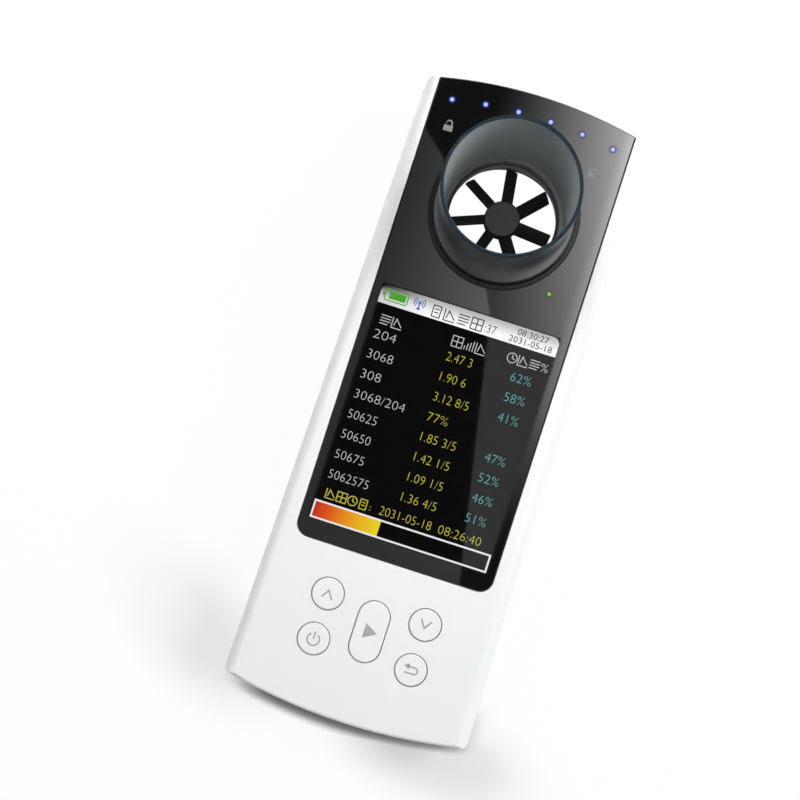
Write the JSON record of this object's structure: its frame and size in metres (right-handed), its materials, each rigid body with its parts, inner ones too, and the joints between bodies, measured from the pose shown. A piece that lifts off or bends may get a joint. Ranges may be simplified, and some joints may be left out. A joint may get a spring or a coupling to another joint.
{
  "type": "handheld turbine spirometer",
  "caption": "Handheld breath-flow meter with a see-through mouth tube and turbine rotor through the top, a colour screen behind black glass, and soft-sprung keys below.",
  "frame": {"origin": "under the middle of the body, on its flat back", "axes": "+Z out of the screen face along the turbine axis, +Y towards the turbine end, X across the width"},
  "size_m": [0.0612, 0.1538, 0.043],
  "materials": {
    "white_case": "fine satin",
    "key_white": "satin",
    "black_glass": "polished",
    "screen": "polished",
    "amber_film": "satin",
    "pale_plastic": "satin",
    "smoked_clear": "polished, smoked",
    "dark_plastic": "satin",
    "gloss_dark": "polished",
    "rotor_black": "satin",
    "steel": "bright",
    "port_steel": "satin",
    "bush_brass": "machined",
    "seal_rubber": "matt",
    "ir_resin": "moulded, dark",
    "switch_black": "satin",
    "board_green": "lacquered",
    "foil_silver": "foil",
    "foam_black": "foam",
    "lead_red": "satin",
    "led_clear": "moulded",
    "guide_clear": "moulded"
  },
  "bodies": {
    "housing": {"front_cover": "white_case", "rear_cover": "white_case", "front_glass": "black_glass", "lcd_module": "screen", "lcd_flex": "amber_film", "lcd_connector": "pale_plastic", "turbine_socket": "dark_plastic", "seal_ring": "seal_rubber", "outlet_ring": "dark_plastic", "ir_emitter": "ir_resin", "ir_detector": "ir_resin", "tact_switches": "switch_black", "main_board": "board_green", "housing_screws": "steel", "board_screws": "steel", "charge_port": "port_steel", "battery": "foil_silver", "battery_pad": "foam_black", "battery_leads": "lead_red", "battery_connector": "pale_plastic", "buzzer": "switch_black", "main_chip": "switch_black", "radio_module": "port_steel", "status_leds": "led_clear", "light_guides": "guide_clear"},
    "turbine_unit": {"mouth_tube": "smoked_clear", "turbine_body": "dark_plastic", "rotor_bridge": "dark_plastic", "shaft_bushes": "bush_brass"},
    "collar": {"lock_collar": "gloss_dark"},
    "rotor": {"turbine_rotor": "rotor_black", "rotor_shaft": "steel", "shaft_clip": "steel"},
    "up_key": {"key_up": "key_white", "plunger_up": "switch_black"},
    "power_key": {"key_power": "key_white", "plunger_power": "switch_black"},
    "play_key": {"key_play": "key_white", "plunger_play": "switch_black"},
    "down_key": {"key_down": "key_white", "plunger_down": "switch_black"},
    "back_key": {"key_back": "key_white", "plunger_back": "switch_black"}
  },
  "joints": [
    {"name": "turbine_lift", "type": "slide", "parent": "housing", "child": "turbine_unit", "axis": [0, 0, 1], "range_m": [0, 0.04]},
    {"name": "collar_twist", "type": "hinge", "parent": "turbine_unit", "child": "collar", "pos_m": [0, 0.0476, 0.02], "axis": [0, 0, 1], "range_deg": [-90, 0]},
    {"name": "rotor_spin", "type": "hinge", "parent": "turbine_unit", "child": "rotor", "pos_m": [0, 0.0476, 0.0142], "axis": [0, 0, 1], "continuous": true},
    {"name": "up_press", "type": "slide", "parent": "housing", "child": "up_key", "axis": [0, 0, -1], "range_m": [0, 0.0004], "stiffness_N_per_m": 400, "springref_m": -0.001},
    {"name": "power_press", "type": "slide", "parent": "housing", "child": "power_key", "axis": [0, 0, -1], "range_m": [0, 0.0004], "stiffness_N_per_m": 400, "springref_m": -0.001},
    {"name": "play_press", "type": "slide", "parent": "housing", "child": "play_key", "axis": [0, 0, -1], "range_m": [0, 0.0004], "stiffness_N_per_m": 400, "springref_m": -0.001},
    {"name": "down_press", "type": "slide", "parent": "housing", "child": "down_key", "axis": [0, 0, -1], "range_m": [0, 0.0004], "stiffness_N_per_m": 400, "springref_m": -0.001},
    {"name": "back_press", "type": "slide", "parent": "housing", "child": "back_key", "axis": [0, 0, -1], "range_m": [0, 0.0004], "stiffness_N_per_m": 400, "springref_m": -0.001}
  ]
}
